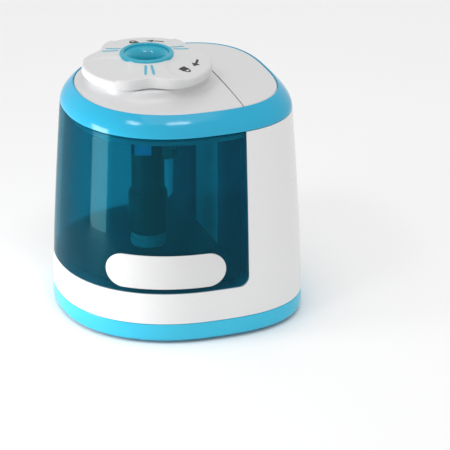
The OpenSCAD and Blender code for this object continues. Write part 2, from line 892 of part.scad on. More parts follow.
translate([0, -outline_y, 0]) {
    base_tray();
    rubber_feet();
    base_screws();
    battery_door();
    battery_cradle();
    aa_cell(1);  // aa_cell_1
    aa_cell(2);  // aa_cell_2
    aa_cell(3);  // aa_cell_3
    aa_cell(4);  // aa_cell_4
    contact_springs();
    contact_plates();
    main_housing();
    shavings_tank();
    label_plate();
    gear_deck();
    deck_screws();
    top_band();
    front_cover();
    rear_cover();
    knob();
    knob_marks();
    pencil_funnel();
    rotor_bush();
    cutter_gear();
    cutter_holder();
    cutter_blade();
    blade_screw();
    stop_plug();
    idler_gear();
    idler_axle();
    pinion();
    motor_shaft();
    motor_can();
    motor_end_cap();
    motor_cradle();
    guide_finger();
    start_lever();
    lever_pin();
    start_switch();
    safety_switch();
    safety_plunger();
    red_wire();
    black_wire();
}
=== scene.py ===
"""The looks of a battery desk pencil sharpener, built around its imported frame.

Lengths are in millimetres until a mesh is made, and angles are in radians. Shapes are worked
out about the pencil hole's axis, and a mesh is then moved so that the origin is on the desk
under the middle of the body. +Z is up and the clear tank is towards -Y.
"""

import bmesh
import bpy
import numpy as np
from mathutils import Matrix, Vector


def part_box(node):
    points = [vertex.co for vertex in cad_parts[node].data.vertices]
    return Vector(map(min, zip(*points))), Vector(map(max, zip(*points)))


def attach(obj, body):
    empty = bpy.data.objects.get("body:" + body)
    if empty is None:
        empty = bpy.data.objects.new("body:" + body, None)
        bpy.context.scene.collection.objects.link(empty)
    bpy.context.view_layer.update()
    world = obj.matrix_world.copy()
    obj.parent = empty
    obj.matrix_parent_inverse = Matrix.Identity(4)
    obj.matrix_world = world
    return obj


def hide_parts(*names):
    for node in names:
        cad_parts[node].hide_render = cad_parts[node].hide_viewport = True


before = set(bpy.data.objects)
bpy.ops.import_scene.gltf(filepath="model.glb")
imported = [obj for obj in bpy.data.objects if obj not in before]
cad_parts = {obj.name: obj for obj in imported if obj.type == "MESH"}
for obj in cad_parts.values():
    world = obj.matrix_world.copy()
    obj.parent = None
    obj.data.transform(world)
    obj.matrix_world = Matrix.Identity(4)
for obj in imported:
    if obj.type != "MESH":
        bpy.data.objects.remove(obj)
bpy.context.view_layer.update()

MM = 0.001
TURN = 2 * np.pi
FAR = 200


def span(node):
    """Lowest and highest point of a CAD node along Z."""
    low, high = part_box(node)
    return low.z / MM, high.z / MM


# ---- Sizes of the body, which the CAD part has too ----

TOP_W = 63.7
TOP_L = 67.3
OUTLINE_Y = 9.3
NOSE_POWER = 2.2
TAIL_POWER = 2.8
TAIL_FLARE = 0.04
BASE_GROW = 8
DRAFT = 3.3
RING_TOP = 7.4
WALL = 2
TANK_WALL = 1.8
GAP = 0.3
CELL_END = 24.6
BAY_BACK = 22.6
BAY_CORNER = 3.4
PART_T = 1.8
COMP_FRONT = BAY_BACK + PART_T
SEAM_Y = BAY_BACK + 1
PLATE_GROW = 2.4
COVER_T = 1.7
STEM_R = 12
SEAT_DROP = 1.8
PENCIL_R = 4.3
FUNNEL_R = 9.2
TUBE_R = 5.5
KNOB_R = 22.3
PEDESTAL_R = 19.8
TANK_SLOT = 27.2
LOBES = 3
LOBE_TURN = np.radians(45)
SCOOP = 4.2
SCOOP_A = np.radians(19)
VIEW_TURN = np.radians(70)

# ---- Levels, from the frame ----

BASE_Z = span("base_tray")[0]
BAND_Z, BODY_H = span("top_band")
TANK_Z, TANK_TOP = span("shavings_tank")
PLATE_Z = span("gear_deck")[0]
PEDESTAL_TOP = span("front_cover")[1]
FUNNEL_LOW, FUNNEL_TOP = span("pencil_funnel")
KNOB_EDGE = span("knob_marks")[0]
KNOB_Z = PEDESTAL_TOP + GAP
COVER_Z = BODY_H - COVER_T
BAY_FLOOR = TANK_Z - GAP
DECK_LOW = BAY_FLOOR - 1
SEAT_Z = KNOB_Z - SEAT_DROP

AROUND = np.linspace(0, TURN, 288, endpoint=False)


# ---- Shapes ----

def reach(a, half_w, half_l, power):
    """Distance to a superellipse: (|cos a / w|^p + |sin a / l|^p)^(-1 / p)."""
    return (abs(np.cos(a) / half_w) ** power + abs(np.sin(a) / half_l) ** power) ** (-1 / power)


def rim(a, grow):
    """The body's outline grown by grow: a superellipse about (0, OUTLINE_Y), blunter towards
    +Y, with x times 1 + TAIL_FLARE * y / half length."""
    half_w = TOP_W / 2 + grow
    half_l = TOP_L / 2 + grow
    power = np.where(np.sin(a) < 0, NOSE_POWER, TAIL_POWER)
    r = reach(a, half_w, half_l, power)
    y = r * np.sin(a)
    return r * np.cos(a) * (1 + TAIL_FLARE * y / half_l), OUTLINE_Y + y


def rim_share(x, y):
    """Where a point lies between the outline's middle, 0, and the flat top's outline, 1."""
    y = y - OUTLINE_Y
    power = np.where(y < 0, NOSE_POWER, TAIL_POWER)
    x = x / (1 + TAIL_FLARE * y / (TOP_L / 2))
    return (abs(x / (TOP_W / 2)) ** power + abs(y / (TOP_L / 2)) ** power) ** (1 / power)


def wall_grow(z):
    """How far the wall stands past the flat top: BASE_GROW less DRAFT times the rise^1.4."""
    rise = np.clip((z - RING_TOP) / (BAND_Z - RING_TOP), 0, 1)
    return BASE_GROW - DRAFT * rise ** 1.4


def rounded(points, radius, steps=4):
    """A closed outline with each corner a quadratic curve, from radius before the corner to
    radius after it: (1-t)^2 * start + 2t(1-t) * corner + t^2 * end."""
    p = np.asarray(points, float)
    radius = np.broadcast_to(np.asarray(radius, float), len(p))[:, None]
    back = np.roll(p, 1, 0) - p
    ahead = np.roll(p, -1, 0) - p
    back_l = np.linalg.norm(back, axis=1, keepdims=True)
    ahead_l = np.linalg.norm(ahead, axis=1, keepdims=True)
    start = p + back / back_l * np.minimum(radius, 0.45 * back_l)
    end = p + ahead / ahead_l * np.minimum(radius, 0.45 * ahead_l)
    t = np.linspace(0, 1, steps + 1)[:, None, None]
    curve = (1 - t) ** 2 * start + 2 * t * (1 - t) * p + t ** 2 * end
    return curve.transpose(1, 0, 2).reshape(-1, 2)


def shell(rows, around=AROUND):
    """Rows of (share, grow, z): each is the outline grown by grow, shrunk about its middle to
    share of its size, at height z."""
    share, grow, z = (column[:, None] for column in np.asarray(rows, float).T)
    x, y = rim(around[None, :], grow)
    return np.stack([share * x, OUTLINE_Y + share * (y - OUTLINE_Y), z + 0 * x], axis=-1)


def ring(section):
    """A closed section of (grow, z) points carried around the body's outline."""
    section = np.asarray(section, float)
    return shell(np.column_stack([np.ones(len(section)), section]))


def filled(section):
    """A section of (grow, z) points carried around the outline, closed at the middle."""
    section = np.asarray(section, float)
    share = np.ones(len(section) + 2)
    share[[0, -1]] = 0
    section = np.vstack([section[:1], section, section[-1:]])
    return shell(np.column_stack([share, section]))


def skin(z0, z1, inset, steps=28):
    """Solid of the body's skin from z0 to z1, moved inwards by inset."""
    z = np.linspace(z0, z1, steps)
    return filled(np.column_stack([wall_grow(z) - inset, z]))


def revolve(section, around=AROUND):
    """A closed section of (radius, z) points turned about the pencil hole's axis."""
    r, z = (column[:, None] for column in np.asarray(section, float).T)
    return np.stack([r * np.cos(around), r * np.sin(around), z + 0 * around], axis=-1)


def prism(profile, start, end, axis):
    """A convex profile carried straight along an axis from start to end, closed by fans."""
    profile = np.asarray(profile, float)
    middle = np.broadcast_to(profile.mean(0), profile.shape)
    flat = np.stack([middle, profile, profile, middle])
    along = np.array([start, start, end, end], float)[:, None, None]
    along = np.broadcast_to(along, flat.shape[:2] + (1,))
    return np.concatenate([flat[..., :axis], along, flat[..., axis:]], axis=-1)


def rectangle(x0, x1, y0, y1):
    return [[x0, y0], [x1, y0], [x1, y1], [x0, y1]]


def disc(x, y, radius, steps=48):
    a = np.linspace(0, TURN, steps, endpoint=False)
    return np.column_stack([x + radius * np.cos(a), y + radius * np.sin(a)])


def bay(inset):
    """Space in front of the partition and above the bay floor, with a round lower corner."""
    y = BAY_BACK - inset
    z = BAY_FLOOR + inset
    a = np.linspace(-TURN / 4, 0, 13)
    corner = np.column_stack([y + BAY_CORNER * (np.cos(a) - 1), z + BAY_CORNER * (np.sin(a) + 1)])
    return prism(np.vstack([corner, [[y, FAR], [-FAR, FAR], [-FAR, z]]]), -FAR, FAR, 0)


# ---- Meshes ----

def solid(name, *grids, wrap=False, crease=32):
    """One object from grids of points in mm. Each grid's columns join up, and with wrap its
    rows do too. Rows that shrink to a point are merged, and faces are turned outwards."""
    points, faces, first = [], [], 0
    for grid in grids:
        rows, columns = grid.shape[:2]
        i = np.arange(rows if wrap else rows - 1)[:, None]
        j = np.arange(columns)[None, :]
        near, far = i * columns, (i + 1) % rows * columns
        after = (j + 1) % columns
        quads = np.stack([near + j, near + after, far + after, far + j], axis=-1)
        points.append((grid.reshape(-1, 3) - [0, OUTLINE_Y, 0]) * MM)
        faces.append(quads.reshape(-1, 4) + first)
        first += rows * columns
    mesh = bpy.data.meshes.new(name)
    mesh.from_pydata(np.concatenate(points), [], np.concatenate(faces))
    piece = bpy.data.objects.new(name, mesh)
    bpy.context.scene.collection.objects.link(piece)
    clean(piece, crease)
    return piece


def clean(piece, crease=32):
    """Merges doubles, turns faces outwards and shades smooth up to the crease angle."""
    shape = bmesh.new()
    shape.from_mesh(piece.data)
    bmesh.ops.remove_doubles(shape, verts=shape.verts, dist=2e-7)
    bmesh.ops.dissolve_degenerate(shape, edges=shape.edges, dist=1e-7)
    bmesh.ops.recalc_face_normals(shape, faces=shape.faces)
    shape.to_mesh(piece.data)
    shape.free()
    piece.data.shade_smooth()
    piece.data.set_sharp_from_angle(angle=np.radians(crease))


def carve(piece, *cutters, operation="DIFFERENCE"):
    """Cuts the piece by each cutter in turn, and deletes the cutters."""
    for cutter in cutters:
        modifier = piece.modifiers.new("cut", "BOOLEAN")
        modifier.operation = operation
        modifier.solver = "EXACT"
        modifier.object = cutter
    graph = bpy.context.evaluated_depsgraph_get()
    mesh = bpy.data.meshes.new_from_object(piece.evaluated_get(graph))
    piece.modifiers.clear()
    piece.data = mesh
    for cutter in cutters:
        bpy.data.objects.remove(cutter)
    clean(piece)
    return piece


def ease(piece, width, segments=2, angle=40):
    """Rounds the edges that are sharper than angle."""
    bevel = piece.modifiers.new("eased edges", "BEVEL")
    bevel.width = width * MM
    bevel.segments = segments
    bevel.limit_method = "ANGLE"
    bevel.angle_limit = np.radians(angle)
    bevel.harden_normals = True
    return piece


def finish_piece(piece, material, body, slot, *nodes):
    """Gives a piece its material and its body, and hides the CAD nodes that it stands for. The slot
    is not used.
    """
    piece.data.materials.clear()
    piece.data.materials.append(material)
    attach(piece, body)
    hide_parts(*nodes)


# ---- Materials ----

class Value:
    """A socket of a material. Arithmetic on it adds Math nodes."""

    def __init__(self, finish, socket):
        self.finish = finish
        self.socket = socket

    def math(self, operation, first, second):
        return self.finish.add("ShaderNodeMath", {"operation": operation}, {0: first, 1: second})

    def __add__(self, other):
        return self.math("ADD", self, other)

    def __sub__(self, other):
        return self.math("SUBTRACT", self, other)

    def __rsub__(self, other):
        return self.math("SUBTRACT", other, self)

    def __mul__(self, other):
        return self.math("MULTIPLY", self, other)

    def __pow__(self, other):
        return self.math("POWER", self, other)

    __radd__ = __add__
    __rmul__ = __mul__


class Finish:
    """A material under construction, and the one way of adding nodes to it."""

    def __init__(self, name):
        self.material = bpy.data.materials.new(name)
        self.material.use_nodes = True
        self.tree = self.material.node_tree
        self.tree.nodes.clear()
        self.place = self.add("ShaderNodeTexCoord", out="Object")

    def add(self, kind, settings=None, sockets=None, out=0):
        """Adds a node of a kind, with its settings first and then its sockets."""
        node = self.tree.nodes.new(kind)
        for key, setting in (settings or {}).items():
            setattr(node, key, setting)
        for key, term in (sockets or {}).items():
            if isinstance(term, Value):
                self.tree.links.new(term.socket, node.inputs[key])
            else:
                node.inputs[key].default_value = term
        return Value(self, node.outputs[out])

    def noise(self, scale, detail=3, stretch=(1, 1, 1)):
        """Noise with scale cells to a metre, stretched along the axes."""
        place = self.add("ShaderNodeMapping", None, {"Vector": self.place, "Scale": stretch})
        sockets = {"Vector": place, "Scale": scale, "Detail": detail}
        return self.add("ShaderNodeTexNoise", None, sockets, out=0)

    def step(self, value, low, high):
        """Goes smoothly from 0 at low to 1 at high."""
        sockets = {"Value": value, "From Min": low, "From Max": high}
        return self.add("ShaderNodeMapRange", {"interpolation_type": "SMOOTHSTEP"}, sockets)

    def blend(self, mask, first, second):
        """Colour from first, where mask is 0, to second, where it is 1."""
        return self.add("ShaderNodeMix", {"data_type": "RGBA"}, {0: mask, 6: first, 7: second}, out=2)

    def bump(self, height, depth):
        """Normal of a surface with height from 0 to 1 over depth metres."""
        return self.add("ShaderNodeBump", None, {"Height": height, "Distance": depth, "Strength": 1})

    def mix(self, mask, first, second):
        return self.add("ShaderNodeMixShader", None, {0: mask, 1: first, 2: second})

    def close(self, shader):
        output = self.tree.nodes.new("ShaderNodeOutputMaterial")
        self.tree.links.new(shader.socket, output.inputs["Surface"])
        return self.material


def tone(colour, factor):
    """A colour made lighter or darker, as RGBA."""
    return tuple(min(1, channel * factor) for channel in colour) + (1,)


def moulded(name, colour, roughness, drift=0.05, ior=1.49, soften=0.0, scuffs=0.1):
    """Moulded plastic: a slow drift in tone, fine mould grain, and sparse rubbed scuffs."""
    f = Finish(name)
    slow = f.noise(45, 2)
    grain = f.noise(3200, 2)
    rub = f.step(f.noise(260, 6, (1, 1, 5)), 0.58, 0.72)
    colour_now = f.blend(slow, tone(colour, 1 - drift), tone(colour, 1 + drift))
    colour_now = f.blend(rub * 0.25, colour_now, tone(colour, 0.94))
    gloss = roughness + 0.05 * grain + scuffs * rub
    sockets = {
        "Base Color": colour_now, "Roughness": gloss, "IOR": ior,
        "Normal": f.bump(0.7 * grain + 0.3 * f.noise(500, 2), 0.000012),
        "Subsurface Weight": soften, "Subsurface Scale": 0.003,
    }
    return f.close(f.add("ShaderNodeBsdfPrincipled", None, sockets))


def metal(name, colour, roughness, stretch=(1, 1, 14), mottle=0.12):
    """Metal with fine drawn lines along Z, a mottled plating and small dull spots."""
    f = Finish(name)
    lines = f.noise(2600, 3, stretch)
    cloud = f.noise(420, 4)
    spots = f.step(f.noise(1500, 2), 0.64, 0.7)
    colour_now = f.blend(cloud, tone(colour, 1 - mottle), tone(colour, 1 + mottle))
    colour_now = f.blend(spots * 0.5, colour_now, tone(colour, 0.6))
    sockets = {
        "Base Color": colour_now, "Metallic": 1,
        "Roughness": roughness + 0.18 * lines + 0.15 * spots,
        "Normal": f.bump(lines, 0.000015),
    }
    return f.close(f.add("ShaderNodeBsdfPrincipled", None, sockets))


def tank_plastic(name):
    """See-through teal plastic: deeper at a slant, glossy, with faint rubbing and hairlines."""
    f = Finish(name)
    slant = f.add("ShaderNodeLayerWeight", None, {"Blend": 0.5}, out="Facing")
    hairline = f.step(f.noise(900, 3, (1, 1, 0.06)), 0.66, 0.7)
    rub = f.step(f.noise(140, 5), 0.5, 0.75)
    pale = f.add("ShaderNodeBsdfTransparent", None, {"Color": (0.20, 0.66, 0.76, 1)})
    deep = f.add("ShaderNodeBsdfTransparent", None, {"Color": (0.02, 0.24, 0.34, 1)})
    sockets = {
        "Base Color": f.blend(rub, (0.0, 0.12, 0.18, 1), (0.002, 0.17, 0.24, 1)),
        "Roughness": 0.02 + 0.02 * rub + 0.08 * hairline, "IOR": 1.9,
        "Specular Tint": (0.35, 0.95, 1, 1),
        "Normal": f.bump(f.noise(30, 1), 0.00005),
    }
    gloss = f.add("ShaderNodeBsdfPrincipled", None, sockets)
    body = f.mix(slant ** 2.5, pale, deep)
    return f.close(f.mix(0.14 + 0.7 * slant ** 5 + 0.04 * hairline, body, gloss))


def nylon_clear(name):
    """Natural nylon that lets some light through, with cloudy flow marks."""
    f = Finish(name)
    cloud = f.noise(700, 4)
    sockets = {
        "Base Color": f.blend(cloud, (0.45, 0.75, 0.72, 1), (0.7, 0.9, 0.86, 1)),
        "Roughness": 0.25 + 0.2 * cloud, "Normal": f.bump(f.noise(2500, 2), 0.00001),
    }
    gloss = f.add("ShaderNodeBsdfPrincipled", None, sockets)
    clear = f.add("ShaderNodeBsdfTransparent", None, {"Color": (0.75, 0.95, 0.93, 1)})
    return f.close(f.mix(0.6 + 0.2 * cloud, clear, gloss))


def rubber(name):
    """Dark rubber with a bloom, fine pores and patches of dust."""
    f = Finish(name)
    pores = f.noise(5200, 3)
    dust = f.step(f.noise(380, 5), 0.5, 0.7)
    sockets = {
        "Base Color": f.blend(dust, (0.02, 0.02, 0.021, 1), (0.07, 0.068, 0.065, 1)),
        "Roughness": 0.6 + 0.3 * dust, "Normal": f.bump(pores, 0.00005),
    }
    return f.close(f.add("ShaderNodeBsdfPrincipled", None, sockets))


def cell_film(name, plus_end):
    """Printed film on a cell: a dark sleeve, a copper end towards the plus pole, bare steel
    past both ends of the film, and fine wrinkles."""
    f = Finish(name)
    y = f.add("ShaderNodeSeparateXYZ", None, {"Vector": f.place}, out="Y")
    along = y * (plus_end / (CELL_END * MM))
    bare = f.step(along, 0.985, 0.99) + f.step(-0.985 - along, 0, 0.005)
    wrinkle = f.noise(900, 4, (1, 0.3, 1))
    film = f.blend(f.step(along, 0.52, 0.53), (0.02, 0.02, 0.022, 1), (0.55, 0.25, 0.08, 1))
    film = f.blend(0.25 * wrinkle, film, (0.5, 0.45, 0.4, 1))
    sockets = {
        "Base Color": f.blend(bare, film, (0.62, 0.62, 0.63, 1)), "Metallic": bare,
        "Roughness": 0.22 + 0.2 * wrinkle, "Normal": f.bump(wrinkle, 0.00003),
    }
    return f.close(f.add("ShaderNodeBsdfPrincipled", None, sockets))


WHITE = (0.77, 0.77, 0.77)
CYAN = (0.012, 0.38, 0.60)
RING_CYAN = (0.03, 0.50, 0.72)
DARK = (0.022, 0.020, 0.020)

white_shell = moulded("white_shell", WHITE, 0.20, drift=0.012, scuffs=0.06)
# The covers and the knob are the shell's white plastic made darker: painted shade on the top faces.
white_top_painted_shade = moulded("white_top_painted_shade", (0.67, 0.67, 0.675), 0.26, drift=0.012, scuffs=0.06)
white_inner = moulded("white_inner", (0.74, 0.74, 0.73), 0.42, drift=0.03)
cyan_band = moulded("cyan_band", CYAN, 0.09, drift=0.04, scuffs=0.08)
cyan_ring = moulded("cyan_ring", RING_CYAN, 0.16, drift=0.04)
cyan_funnel = moulded("cyan_funnel", (0.02, 0.38, 0.52), 0.14, drift=0.05, soften=0.1)
blue_finger = moulded("blue_finger", (0.01, 0.62, 0.95), 0.2)
dark_plastic = moulded("dark_plastic", DARK, 0.3, drift=0.2)
gear_nylon = moulded("gear_nylon", (0.78, 0.75, 0.66), 0.38, drift=0.05, soften=0.2)
label_film = moulded("label_film", (0.69, 0.69, 0.69), 0.3, drift=0.01, scuffs=0.03)
mark_cyan = moulded("mark_cyan", (0.10, 0.45, 0.58), 0.4, drift=0.15)
mark_dark = moulded("mark_dark", (0.03, 0.03, 0.034), 0.45, drift=0.3)
red_sheath = moulded("red_sheath", (0.50, 0.02, 0.015), 0.35, drift=0.1)
black_sheath = moulded("black_sheath", (0.012, 0.012, 0.012), 0.35, drift=0.2)
zinc = metal("zinc_plate", (0.60, 0.61, 0.63), 0.2)
blade_steel = metal("blade_steel", (0.58, 0.57, 0.56), 0.15, stretch=(1, 14, 1), mottle=0.06)
bronze = metal("sintered_bronze", (0.60, 0.38, 0.18), 0.35, stretch=(1, 1, 1))
brass = metal("turned_brass", (0.70, 0.50, 0.20), 0.2)
rubber_foot = rubber("rubber_foot")
tank_teal = tank_plastic("tank_teal")
plug_nylon = nylon_clear("plug_nylon")

KEPT = {
    white_inner: ["battery_cradle", "gear_deck", "motor_cradle"],
    cyan_ring: ["battery_door"],
    blue_finger: ["guide_finger"],
    dark_plastic: ["cutter_holder", "motor_end_cap", "start_lever", "start_switch",
                   "safety_switch"],
    gear_nylon: ["cutter_gear", "idler_gear", "safety_plunger"],
    zinc: ["base_screws", "deck_screws", "contact_springs", "contact_plates", "blade_screw",
           "idler_axle", "lever_pin", "motor_shaft", "motor_can"],
    blade_steel: ["cutter_blade"],
    bronze: ["rotor_bush"],
    brass: ["pinion"],
    rubber_foot: ["rubber_feet"],
    plug_nylon: ["stop_plug"],
    red_sheath: ["red_wire"],
    black_sheath: ["black_wire"],
}
for cell in range(1, 5):
    plus_end = 1 if cell % 2 == 0 else -1
    KEPT[cell_film(f"cell_film_{cell}", plus_end)] = [f"aa_cell_{cell}"]
for material, nodes in KEPT.items():
    for node in nodes:
        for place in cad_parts[node].material_slots:
            place.material = material


# ---- Base, housing and tank ----

DOOR_HALF = 30
DOOR_FRONT = OUTLINE_Y - CELL_END
DOOR_BACK = DOOR_FRONT + 53
FEET = [[-11.5, -24.5], [11.5, -24.5], [-17.5, 43.5], [17.5, 43.5]]
BASE_POSTS = [[0, -24.6], [-25, 41.8], [25, 41.8]]


def make_base():
    """Base tray: a section around the outline, round below, cut for the door and the feet."""
    floor = BASE_Z + 2
    section = [[BASE_GROW - 1.1, BASE_Z], [BASE_GROW, BASE_Z + 1.1], [BASE_GROW, RING_TOP],
               [BASE_GROW - WALL, RING_TOP], [BASE_GROW - WALL, floor]]
    section = rounded(section, [0.9, 0.9, 0.35, 0.35, 0.5])
    piece = solid("base_tray_shell", filled(section))
    door = rectangle(-DOOR_HALF - GAP, DOOR_HALF + GAP, DOOR_FRONT - GAP, DOOR_BACK + 2)
    cutters = [solid("door_way", prism(door, -1, 5, 2))]
    for x, y in FEET:
        cutters.append(solid("foot_way", prism(disc(x, y, 3.85), -1, BASE_Z + 0.5, 2)))
    for x, y in BASE_POSTS:
        cutters.append(solid("head_way", prism(disc(x, y, 2.5), -1, BASE_Z + 1.3, 2)))
    carve(piece, *cutters)
    finish_piece(piece, cyan_ring, "housing", "cyan_plastic", "base_tray")


def make_housing():
    """Housing: the body's skin less the bay, the battery space and the motor space."""
    low = RING_TOP + 0.2
    top = BAND_Z - 0.2
    piece = solid("housing_shell", skin(low, top, 0))
    motor_room = solid("motor_room", skin(BAY_FLOOR, top + 1, WALL))
    front = rectangle(-FAR, FAR, -FAR, COMP_FRONT)
    carve(motor_room, solid("front_half", prism(front, -FAR, FAR, 2)))
    deck = solid("deck_way", filled([[PLATE_GROW + GAP, PLATE_Z], [PLATE_GROW + GAP, FAR]]))
    rear = rectangle(-FAR, FAR, COMP_FRONT, FAR)
    carve(deck, solid("rear_half", prism(rear, -FAR, FAR, 2)))
    carve(piece, solid("bay", bay(0)), solid("cell_room", skin(RING_TOP, DECK_LOW, WALL, 4)),
          motor_room, deck)
    ease(piece, 0.35)
    finish_piece(piece, white_shell, "housing", "white_plastic", "main_housing")


def make_tank():
    """Tank: the skin within the bay, less the same a wall further in, open at the top. Behind,
    it has a slot for the cutter and a straight-sided pocket that clears the gear deck."""
    floor = TANK_Z + TANK_WALL
    piece = solid("tank_shell", skin(TANK_Z - 1, TANK_TOP, 0))
    carve(piece, solid("bay_gap", bay(GAP)), operation="INTERSECT")
    inner = solid("tank_room", skin(floor, TANK_TOP + 1, TANK_WALL))
    carve(inner, solid("bay_wall", bay(GAP + TANK_WALL)), operation="INTERSECT")
    slot = rectangle(-TANK_SLOT / 2, TANK_SLOT / 2, floor + 0.6, FAR)
    deck_half = rim(AROUND, PLATE_GROW + GAP)[0].max()
    rear = rectangle(-deck_half, deck_half, BAY_BACK - GAP - TANK_WALL - 0.1, FAR)
    deck = solid("deck_room", prism(rear, PLATE_Z - GAP, FAR, 2))
    carve(piece, inner, solid("slot", prism(slot, 0, FAR, 1)), deck)
    ease(piece, 0.3)
    finish_piece(piece, tank_teal, "tank", "clear_teal", "shavings_tank")


LABEL_W = 40.5
LABEL_H = 12
LABEL_SLIDE = 6.6
LABEL_PROUD = 0.45


def make_label():
    """Blank plate: a stadium laid on the tank's skin. A point u across and w up goes where the
    outline lies u across, seen from the plate's side, and the rim curves down to the tank."""
    half = (LABEL_W - LABEL_H) / 2
    r = LABEL_H / 2
    arc = np.linspace(-TURN / 4, TURN / 4, 24)
    straight = np.linspace(half, -half, 32)[1:-1]
    edge_u = np.concatenate([half + r * np.cos(arc), straight, -half - r * np.cos(arc), -straight])
    edge_w = np.concatenate([r * np.sin(arc), 0 * straight + r, -r * np.sin(arc), 0 * straight - r])
    turn = np.linspace(0, TURN / 4, 6)
    soft = 0.3
    share = np.concatenate([np.linspace(0, 1, 12)[:-1] * (1 - soft / r),
                            1 - soft / r * (1 - np.sin(turn)), [1, 0.6, 0]])
    proud = np.concatenate([np.full(11, LABEL_PROUD), LABEL_PROUD - soft * (1 - np.cos(turn)),
                            [0.02, 0.02, 0.02]])
    middle = TANK_Z + 1.6 + r
    z = middle + share[:, None] * edge_w
    u = LABEL_SLIDE + share[:, None] * edge_u
    table = np.linspace(VIEW_TURN - TURN * 0.45, VIEW_TURN - TURN * 0.05, 400)
    x, y = rim(table, wall_grow(middle))
    across = x * np.cos(VIEW_TURN) + y * np.sin(VIEW_TURN)
    a = np.interp(u, across, table)
    x, y = rim(a, wall_grow(z) + proud[:, None])
    piece = solid("label_blank", np.stack([x, y, z], axis=-1))
    finish_piece(piece, label_film, "tank", "label_white", "label_plate")


# ---- Band and covers ----

CROWN = 1.6


def crown(x, y):
    """Rise of the covers: CROWN times 1 - share^2, from the flat top's rim to its middle."""
    return CROWN * (1 - np.minimum(rim_share(x, y), 1) ** 2)


def make_band():
    """Band: its outside grows by 0.35 + 4.35 * (1 - share of height^1.8), on a stepped inside."""
    share = np.linspace(1, 0, 30)
    half_way = BAND_Z + 2.2
    outside = np.column_stack([0.35 + (BASE_GROW - DRAFT - 0.35) * (1 - share ** 1.8),
                               BAND_Z + (BODY_H - BAND_Z) * share])
    inside = [[2.2, BAND_Z], [2.2, half_way], [1, half_way], [1, COVER_Z - 1],
              [-1.5, COVER_Z - 1], [-1.5, COVER_Z], [0, COVER_Z], [0, BODY_H]]
    radius = np.full(len(outside) + len(inside), 0.12)
    radius[len(outside) - 1] = 0.4
    section = rounded(np.vstack([outside, inside]), radius, 3)
    piece = solid("band_shell", ring(section), wrap=True)
    finish_piece(piece, cyan_band, "housing", "cyan_plastic", "top_band")


def make_rear_cover():
    """Rear cover: a crowned plate within the band, cut along the seam."""
    soft = 0.3
    share = np.linspace(0, 1, 40)
    grow = -0.15
    top = np.column_stack([share * (1 - soft / 33), 0 * share + grow,
                           BODY_H + CROWN * (1 - share ** 2)])
    edge = [[1, grow, BODY_H - soft], [1, grow, COVER_Z], [0, grow, COVER_Z]]
    piece = solid("rear_cover_plate", shell(np.vstack([top, edge])))
    front = rectangle(-FAR, FAR, -FAR, SEAM_Y + 0.12)
    carve(piece, solid("front_part", prism(front, -FAR, FAR, 2)))
    finish_piece(piece, white_top_painted_shade, "housing", "white_plastic", "rear_cover")


def cover_reach(around):
    """Distance from the pencil hole to the front cover's edge: the outline, or the seam."""
    x, y = rim(np.linspace(0, TURN, 2880), -0.15)
    a = np.mod(np.arctan2(y, x), TURN)
    order = np.argsort(a)
    to_rim = np.interp(around, a[order], np.hypot(x, y)[order], period=TURN)
    up = np.maximum(np.sin(around), 1e-6)
    return np.minimum(to_rim, (SEAM_Y - 0.12) / up)


def make_front_cover():
    """Front cover: rings about the pencil hole. They go over the pedestal, down a quarter
    ellipse to the crowned plate, out to the edge, and back underneath."""
    around = np.linspace(0, TURN, 480, endpoint=False)
    edge = cover_reach(around)
    foot = PEDESTAL_R + 3
    fillet = np.linspace(TURN / 4, 0, 9)
    lip = np.linspace(0, TURN / 4, 6)
    out = np.linspace(0, 1, 10)[1:]
    bore = STEM_R + 0.06
    soft = 0.7
    r = [bore + 0 * around]
    r += [PEDESTAL_R - soft + soft * np.sin(t) + 0 * around for t in lip]
    r += [PEDESTAL_R + 3 * (1 - np.sin(t)) + 0 * around for t in fillet]
    r += [foot + (edge - 0.3 - foot) * t for t in out]
    r += [edge, edge, PEDESTAL_R - 1.8 + 0 * around, PEDESTAL_R - 1.8 + 0 * around, bore + 0 * around]
    r = np.array(r)
    x = r * np.cos(around)
    y = r * np.sin(around)
    ground = BODY_H + crown(x, y)
    z = np.full(r.shape, COVER_Z)
    first = 1 + len(lip)
    last = first + len(fillet)
    z[0] = PEDESTAL_TOP
    z[1:first] = (PEDESTAL_TOP - soft + soft * np.cos(lip))[:, None]
    z[first:last] = ground[first:last] + 2.2 * (1 - np.cos(fillet))[:, None]
    z[last:last + len(out)] = ground[last:last + len(out)]
    z[last + len(out)] = BODY_H - 0.3
    z[-2:] = PEDESTAL_TOP - 1.5
    piece = solid("front_cover_plate", np.stack([x, y, z], axis=-1), wrap=True)
    finish_piece(piece, white_top_painted_shade, "housing", "white_plastic", "front_cover")


# ---- Knob, its marks and the funnel ----

KNOB_RISE = FUNNEL_TOP - KNOB_EDGE - 0.8
PAD_AT = 19
PAD_R = 11
PAD_DROP = 0.55


def from_scoop(a):
    """Angle from a to the nearest scoop's middle."""
    step = TURN / LOBES
    return np.mod(a - LOBE_TURN, step) - step / 2


def knob_edge(a):
    """Edge of the knob: KNOB_R less SCOOP * exp(-(angle from the scoop / SCOOP_A)^2)."""
    return KNOB_R - SCOOP * np.exp(-(from_scoop(a) / SCOOP_A) ** 2)


def smooth(t):
    """0 below 0, 1 above 1, and 3t^2 - 2t^3 between."""
    t = np.clip(t, 0, 1)
    return t * t * (3 - 2 * t)


def knob_face(x, y):
    """Height of the knob's top: it rises to the funnel by KNOB_RISE * (1 - share)^1.5, and on
    each lobe a round pad of radius PAD_R is let in by PAD_DROP."""
    r = np.hypot(x, y)
    share = np.clip((r - FUNNEL_R) / (KNOB_R - FUNNEL_R), 0, 1)
    z = KNOB_EDGE + KNOB_RISE * (1 - share) ** 1.5
    for k in range(LOBES):
        a = LOBE_TURN + k * TURN / LOBES
        away = np.hypot(x - PAD_AT * np.cos(a), y - PAD_AT * np.sin(a))
        z = z - PAD_DROP * smooth((PAD_R - away) / 1.6)
    return z


